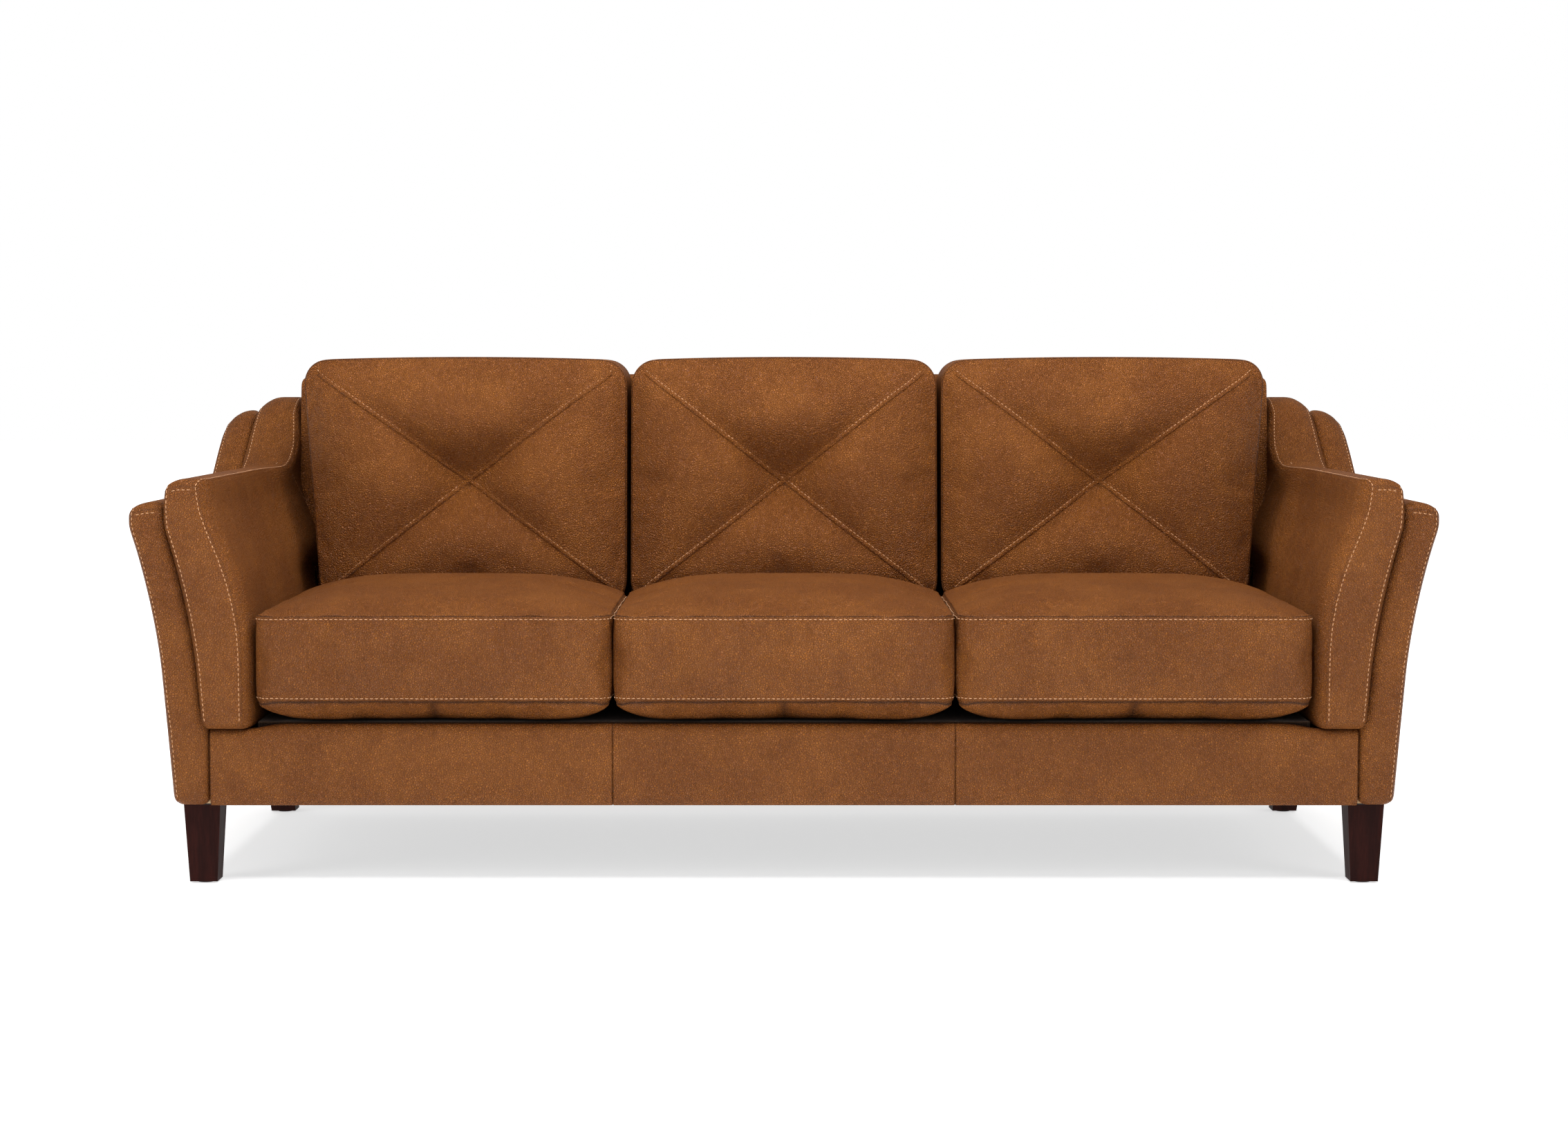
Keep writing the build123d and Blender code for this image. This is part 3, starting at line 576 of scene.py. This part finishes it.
def outer_face(z):
    """X of the right shell's outer face at a height."""
    low = 0.019 * (z - FOOT_LEVEL) / 0.222
    flare = 0.031 * (np.clip(z - 0.360, 0, 0.253) / 0.253) ** 1.8
    wing = 0.09 * np.clip(z - 0.650, 0, None)
    return HALF_FOOT + np.minimum(low, 0.0405) + flare - wing


def rear_face(z):
    """Y of the outside back at a height."""
    return cad_box[1][1] - REAR_LEAN * (BACK_TOP - z) / (BACK_TOP - FOOT_LEVEL)


def swept_top(y, level, wing, start, end):
    """Height of an arm's top: level, then an S up to the wing."""
    return level + (wing - level) * smooth_step((y - start) / (end - start))


def pad_inside(z):
    """X of the right pad's inner face at a height."""
    heights = np.array([0.26, 0.40, 0.44, 0.48, 0.52, 0.56, 0.60, 0.64, 0.68, 0.72, 0.76, 0.84])
    places = np.array([0.896, 0.896, 0.8985, 0.905, 0.915, 0.929, 0.946, 0.961, 0.967, 0.961, 0.946, 0.938])
    return np.interp(z, heights, places)


def turn_inside_out(piece):
    bpy.ops.object.select_all(action="DESELECT")
    piece.select_set(True)
    bpy.context.view_layer.objects.active = piece
    bpy.ops.object.mode_set(mode="EDIT")
    bpy.ops.mesh.select_all(action="SELECT")
    bpy.ops.mesh.flip_normals()
    bpy.ops.object.mode_set(mode="OBJECT")


def arm_piece(name, facing, form, radius, strip_lines, nodes):
    """An arm layer made from a unit block. form gives a point from its shares across, along and up."""
    limits = form["limits"]
    piece, points, steps = leather_block(name, *limits)
    a, b, c = points[:, 0], points[:, 1], points[:, 2]
    b, c = rounded(b, c, limits[1], limits[2], radius)
    a, c = rounded(a, c, limits[0], limits[2], radius)
    a, b = rounded(a, b, limits[0], limits[1], radius)
    points = form["place"](a, b, c)
    points[:, 0] *= facing
    if facing < 0:
        turn_inside_out(piece)
    front = steps[:, 1] == 0
    top = steps[:, 2] == last_line
    strip = (front | top) & np.isin(steps[:, 0], strip_lines)
    sewn = strip | (front & (steps[:, 2] == last_line - 3))
    write_points(piece, points)
    normals = read_normals(piece)
    points = points - normals * (0.0016 * sewn)[:, None]
    write_points(piece, points)
    # Painted shade weight of 0.5 on the sewn lines, darkening the leather there.
    paint_seam_shade(piece, np.where(sewn, 0.5, 0.0))
    finish_leather(piece, "sofa", 0.9, *nodes)
    return piece, points, steps


def strip_rows(points, steps, lines):
    """Paths of the stitches beside an arm's strip: up its front, along its top and under its cross seam."""
    rows = []
    front = steps[:, 1] == 0
    for line in lines:
        up = points[front & (steps[:, 0] == line) & (steps[:, 2] > 2)]
        along = points[(steps[:, 2] == last_line) & (steps[:, 0] == line) & ~front]
        rows.append(np.concatenate([up[np.argsort(up[:, 2])], along[np.argsort(along[:, 1])]]))
    cross = points[front & (steps[:, 2] == last_line - 4) & (steps[:, 0] > 4) & (steps[:, 0] < last_line - 4)]
    rows.append(cross[np.argsort(cross[:, 0])])
    return rows


for side, facing in (("left", -1), ("right", 1)):
    shell_width = 0.062
    shell_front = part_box(f"arm_shell_cover_{side}")[0][1]
    shell_length = cad_box[1][1] - shell_front

    def place_shell(a, b, c):
        y_share = b / shell_length
        level = swept_top(b + shell_front, 0.653, 0.794, 0.215, 0.415)
        z = FOOT_LEVEL + c / 0.515 * (level - FOOT_LEVEL)
        slump = 0.013 + 0.014 * smooth_step((b + shell_front - 0.16) / 0.2)
        droop = slump * np.clip(1 - a / 0.046, 0, 1) ** 2 * np.clip((c - 0.42) / 0.095, 0, 1) ** 2
        y = shell_front + y_share * (rear_face(z) - shell_front)
        foot_fill = np.clip((0.300 - z) / 0.034, 0, 1)
        inside = (outer_face(z) - shell_width) * (1 - foot_fill) + (HALF_FOOT - shell_width) * foot_fill
        x = outer_face(z) + (inside - outer_face(z)) * a / shell_width
        return np.stack([x, y, z - droop], axis=1)

    form = {"limits": ((0, shell_width), (0, shell_length), (0, 0.515)), "place": place_shell}
    piece, points, steps = arm_piece(
        f"arm_shell_{side}", facing, form, 0.016, (2,),
        (f"arm_shell_cover_{side}", f"arm_shell_foam_{side}"),
    )
    sew(f"arm_shell_stitches_{side}", piece, "sofa", strip_rows(points, steps, (3,)))

    pad_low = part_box(f"arm_pad_cover_{side}")[0]
    pad_front = pad_low[1]
    pad_length = cad_box[1][1] - 0.009 - pad_front

    def place_pad(a, b, c):
        y_share = b / pad_length
        level = swept_top(b + pad_front, 0.692, 0.820, 0.205, 0.405)
        z = pad_low[2] + c / 0.424 * (level - pad_low[2])
        y = pad_front + y_share * (rear_face(z) - 0.009 - pad_front)
        outside = outer_face(z) - shell_width + 0.001
        inside = pad_inside(z)
        nose = np.clip(1 - b / 0.055, 0, 1)
        inside = inside + 0.016 * nose ** 2.2
        plump = smooth_step((z - 0.475) / 0.08) * (1 - smooth_step((z - 0.70) / 0.10))
        inside = inside - 0.030 * smooth_step((y + 0.02) / 0.32) * plump
        share = a / 0.12
        slump = 0.013 + 0.012 * smooth_step((b + pad_front - 0.16) / 0.2)
        droop = slump * np.clip(1 - share / 0.5, 0, 1) ** 2 * np.clip((c - 0.33) / 0.094, 0, 1) ** 2
        return np.stack([outside + (inside - outside) * share, y, z - droop], axis=1)

    form = {"limits": ((0, 0.12), (0, pad_length), (0, 0.424)), "place": place_pad}
    piece, points, steps = arm_piece(
        f"arm_pad_{side}", facing, form, 0.017, (2, last_line - 2),
        (f"arm_pad_cover_{side}", f"arm_pad_foam_{side}"),
    )
    rows = strip_rows(points, steps, (3, last_line - 3))
    seam_places = (
        (0.690, 0.683), (0.722, 0.656), (0.765, 0.611), (0.775, 0.560), (0.760, 0.511), (0.715, 0.449)
    )
    seam = [(facing * pad_inside(z), cad_box[0][1] + depth, z) for depth, z in seam_places]
    rows.append(np.array(seam))
    sew(f"arm_pad_stitches_{side}", piece, "sofa", rows)

# ---------------------------------------------------------------- Apron
# Three leather panels over a thin foam, sewn to each other at two upright seams and pulled under the front
# rail at their foot.

for side in ("left", "middle", "right"):
    low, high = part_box(f"apron_cover_{side}")
    x_limits = (low[0], high[0])
    y_limits = (low[1], high[1])
    z_limits = (low[2], high[2])
    piece, points, steps = leather_block(f"apron_{side}", x_limits, y_limits, z_limits)
    y, z = rounded(points[:, 1], points[:, 2], y_limits, (z_limits[0] - 0.02, z_limits[1]), 0.015)
    x, y = rounded(points[:, 0], y, x_limits, (y_limits[0], y_limits[1] + 0.03), 0.003)
    between_arms = smooth_step((0.888 - np.abs(x)) / 0.025)
    z = z + 0.0085 * between_arms * smooth_step((z - z_limits[1] + 0.050) / 0.050)
    tuck = 0.006 * np.clip(1 - (z - z_limits[0]) / 0.010, 0, 1) ** 2
    y = y + tuck * (y < y_limits[0] + 0.012)
    write_points(piece, np.stack([x, y, z], axis=1))
    # Painted shade weight of 0.7 on the upright end seams of the front face, darkening the leather there.
    end = (steps[:, 1] == 0) & ((steps[:, 0] == 0) | (steps[:, 0] == last_line))
    paint_seam_shade(piece, np.where(end, 0.7, 0.0))
    nodes = [f"apron_cover_{side}"] + (["apron_foam"] if side == "middle" else [])
    finish_leather(piece, "sofa", 0.95, *nodes)

# ---------------------------------------------------------------- Back frame
# Leather over the foam of the inside back and over its cap, which shows between and above the cushions.

low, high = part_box("back_frame_cover")
cover_y = (0.0, 0.150)
cover_x = (low[0] + 0.054, high[0] - 0.054)
cover_z = (low[2] + 0.001, high[2])
piece, points, steps = leather_block("back_frame", cover_x, cover_y, cover_z)
y, z = rounded(points[:, 1], points[:, 2], cover_y, (cover_z[0] - 0.1, cover_z[1]), 0.026)
x, z = rounded(points[:, 0], z, cover_x, (cover_z[0] - 0.1, cover_z[1]), 0.020)
spread = np.minimum(pad_inside(z), 0.938) - pad_inside(cover_z[0]) - 0.003
x = x * (1 + np.clip(spread, 0, None) / cover_x[1])
depth = 0.140 + 0.025 * (cover_z[1] - z) / (cover_z[1] - cover_z[0])
rear_cut = np.where(z > 0.802, 0.0, 0.0095)
y = rear_face(z) - depth + (depth - rear_cut) * points[:, 1] / cover_y[1] + (y - points[:, 1])
write_points(piece, np.stack([x, y, z], axis=1))
paint_seam_shade(piece, np.zeros(len(x)))
finish_leather(piece, "sofa", 0.9, "back_frame_cover", "back_frame_foam")

# ---------------------------------------------------------------- Outside back
# A stiff board in leather, in three panels with two upright seams, stapled down between the arm shells.

low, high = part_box("outside_back_cover")
edges = [-1.0, -0.33, 0.33, 1.0]
panels = ("right_hand", "centre", "left_hand")
for number, panel in enumerate(panels):
    z_limits = (low[2] + 0.001, high[2] - 0.001)
    x_limits = (edges[number], edges[number + 1])
    piece, points, steps = leather_block(f"outside_back_{panel}", x_limits, (0.0, 0.008), z_limits)
    half = outer_face(points[:, 2]) - 0.0625
    x, z = rounded(points[:, 0], points[:, 2], x_limits, z_limits, 0.004)
    x = x * half
    swell = (1 - (2 * (points[:, 2] - z_limits[0]) / (z_limits[1] - z_limits[0]) - 1) ** 4).clip(0)
    share = 2 * (points[:, 0] - x_limits[0]) / (x_limits[1] - x_limits[0]) - 1
    swell = swell * (1 - share ** 6) * 0.004
    y = rear_face(z) - 0.008 + points[:, 1] + np.where(steps[:, 1] == last_line, swell, 0)
    write_points(piece, np.stack([x, y, z], axis=1))
    # Painted shade weight of 0.8 on the upright side seams of the back face, darkening the leather there.
    side_edge = (steps[:, 1] == last_line) & ((steps[:, 0] == 0) | (steps[:, 0] == last_line))
    paint_seam_shade(piece, np.where(side_edge, 0.8, 0.0))
    points = read_points(piece)
    finish_leather(piece, "sofa", 0.9, "outside_back_cover")
    rows = []
    for line in (2, last_line - 2):
        chosen = (steps[:, 1] == last_line) & (steps[:, 0] == line)
        path = points[chosen]
        rows.append(path[np.argsort(path[:, 2])])
    sew(f"outside_back_stitches_{panel}", piece, "sofa", rows)

# ---------------------------------------------------------------- Legs
# Square tapered legs of hardwood, stained a dark espresso and lacquered satin. The grain runs down them.


def make_wood(name, dark, light, roughness, ring_scale):
    material, shader, place = new_material(name, Specular_IOR_Level=0.06)
    drawn = place.add(
        "ShaderNodeVectorMath", {"operation": "MULTIPLY"}, _0=place, _1=(1.0, 1.0, 0.09)
    )["Vector"]
    grain = place.add(
        "ShaderNodeTexNoise", {}, Vector=drawn, Scale=ring_scale, Detail=6.0, Roughness=0.6
    )["Fac"]
    fine = place.add("ShaderNodeTexNoise", {}, Vector=drawn, Scale=ring_scale * 6, Detail=3.0)["Fac"]
    streak = (grain * 0.7 + fine * 0.3).eased(0.36, 0.64)
    colour = streak.mixed(dark, light)
    finish_surface(place, shader, colour, roughness + streak * 0.12, fine, 0.0003)
    return material


espresso = make_wood("espresso_wood", (0.0130, 0.0030, 0.0022), (0.0260, 0.0058, 0.0042), 0.50, 55.0)
sawn = make_wood("sawn_wood", (0.42, 0.27, 0.14), (0.62, 0.45, 0.27), 0.6, 30.0)


def dress(material, *names):
    """Gives CAD nodes a material in all their slots."""
    for name in names:
        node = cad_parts[name]
        for slot in node.material_slots:
            slot.material = material


dress(espresso, "leg_front_left", "leg_front_right", "leg_rear_left", "leg_rear_right")
dress(
    sawn, "front_rail", "rear_rail", "side_rail_left", "side_rail_right", "seat_stretchers", "corner_blocks",
    "arm_front_post_left", "arm_front_post_right", "arm_rear_post_left", "arm_rear_post_right",
    "arm_top_rail_left", "arm_top_rail_right", "back_outer_posts", "back_inner_posts", "back_top_rail",
    "back_lower_rail",
)

# ---------------------------------------------------------------- Springs and fittings
# Sinuous springs of drawn wire, zinc-plated plates, hanger bolts and tee nuts, and black plastic glides.


def make_metal(name, colour, roughness):
    material, shader, place = new_material(name, Metallic=1.0)
    smear = place.add("ShaderNodeTexNoise", {}, Vector=place, Scale=120.0, Detail=4.0)["Fac"]
    tone = smear.mixed(tuple(value * 0.7 for value in colour), colour)
    finish_surface(place, shader, tone, smear * 0.2 + roughness, smear, 0.0001)
    return material


dress(
    make_metal("drawn_wire", (0.36, 0.36, 0.38), 0.3),
    "seat_springs_left", "seat_springs_middle", "seat_springs_right",
)
dress(make_metal("zinc_plate", (0.66, 0.66, 0.64), 0.32), "spring_clips", "leg_bolts", "leg_tee_nuts")


def make_cloth(name, dark, light, count, roughness):
    """Plain woven cloth: two crossing sets of threads."""
    material, shader, place = new_material(name, Sheen_Weight=0.3, Specular_IOR_Level=0.2)
    part = place.add("ShaderNodeSeparateXYZ", {}, Vector=place)
    warp = (part["X"] * count).sum_with(0.0, "SINE")
    weft = (part["Y"] * count).sum_with(0.0, "SINE")
    rise = (part["Z"] * count).sum_with(0.0, "SINE")
    weave = (warp * weft + rise * 0.5) * 0.5 + 0.5
    fuzz = place.add("ShaderNodeTexNoise", {}, Vector=place, Scale=500.0, Detail=3.0)["Fac"]
    colour = (weave * 0.6 + fuzz * 0.4).mixed(dark, light)
    finish_surface(place, shader, colour, fuzz * 0.1 + roughness, weave + fuzz * 0.5, 0.0004)
    return material


dress(make_cloth("deck_weave", (0.075, 0.040, 0.020), (0.13, 0.075, 0.040), 2600.0, 0.85), "deck_cloth")
dress(make_cloth("dust_fleece", (0.012, 0.012, 0.012), (0.035, 0.035, 0.035), 1800.0, 0.9), "dust_cover")
dress(make_cloth("strap_weave", (0.03, 0.03, 0.032), (0.09, 0.09, 0.09), 2400.0, 0.8), "back_webbing")
dress(make_cloth("pad_wrap", (0.020, 0.010, 0.005), (0.045, 0.022, 0.012), 1500.0, 0.9), "deck_pad")
dress(
    make_cloth("zip_tape", (0.06, 0.03, 0.018), (0.11, 0.06, 0.035), 3000.0, 0.7),
    "seat_cushion_zip_left", "seat_cushion_zip_middle", "seat_cushion_zip_right",
)


def make_plastic():
    material, shader, place = new_material("black_plastic", Specular_IOR_Level=0.4)
    speck = place.add("ShaderNodeTexNoise", {}, Vector=place, Scale=800.0, Detail=2.0)["Fac"]
    colour = speck.mixed((0.012, 0.012, 0.012), (0.03, 0.03, 0.03))
    finish_surface(place, shader, colour, speck * 0.2 + 0.4, speck, 0.0001)
    return material


dress(make_plastic(), "leg_glides")

# ---------------------------------------------------------------- Studio
# A plain white floor and surround, a broad soft light overhead and two softer ones from the front corners.

bpy.ops.object.select_all(action="DESELECT")
bpy.ops.mesh.primitive_plane_add(size=60)
floor = bpy.context.object
floor.name = "floor"
floor_material, floor_shader, floor_place = new_material("white_floor", Roughness=1.0, Specular_IOR_Level=0.0)
floor_shader.inputs["Base Color"].default_value = (0.90, 0.90, 0.90, 1)
distance = floor_place.add("ShaderNodeVectorMath", {"operation": "LENGTH"}, _0=floor_place)["Value"]
glow = distance.eased(1.3, 2.7).mixed((1.0, 1.0, 1.0), (1.9, 1.9, 1.9))
floor_material.node_tree.links.new(glow.socket, floor_shader.inputs["Emission Color"])
floor_shader.inputs["Emission Strength"].default_value = 0.61
floor.data.materials.append(floor_material)

world = bpy.data.worlds.new("studio")
bpy.context.scene.world = world
world.use_nodes = True
backdrop = world.node_tree.nodes["Background"]
backdrop.inputs["Color"].default_value = (1, 1, 1, 1)
seen = world.node_tree.nodes.new("ShaderNodeLightPath")
level = Wire(world.node_tree, seen.outputs["Is Camera Ray"]) * 0.74 + 0.26
world.node_tree.links.new(level.socket, backdrop.inputs["Strength"])


def soft_light(name, place, target, size, power):
    data = bpy.data.lights.new(name, "AREA")
    data.shape = "RECTANGLE"
    data.size, data.size_y = size
    data.energy = power
    lamp = bpy.data.objects.new(name, data)
    bpy.context.scene.collection.objects.link(lamp)
    lamp.location = place
    lamp.rotation_euler = (Vector(target) - Vector(place)).to_track_quat("-Z", "Y").to_euler()
    return lamp


soft_light("overhead", (0.0, -0.6, 3.4), (0.0, 0.1, 0.4), (4.0, 1.8), 100)
soft_light("upper_front", (0.0, -1.5, 2.3), (0.0, 0.3, 0.6), (3.4, 0.9), 60)
soft_light("front_left", (-3.4, -2.6, 1.7), (-0.2, 0.0, 0.5), (1.4, 1.8), 25)
soft_light("front_right", (3.4, -3.0, 1.9), (0.2, 0.0, 0.5), (1.4, 1.4), 19)

camera_data = bpy.data.cameras.new("camera")
camera = bpy.data.objects.new("camera", camera_data)
bpy.context.scene.collection.objects.link(camera)
camera_data.lens = 68.6
camera_data.sensor_width = 36.0
camera.location = (0.0, cad_box[0][1] - 5.0, 0.88)
camera.rotation_euler = (math.radians(90 - 3.8), 0, 0)
bpy.context.scene.camera = camera
bpy.context.scene.view_settings.view_transform = "Standard"
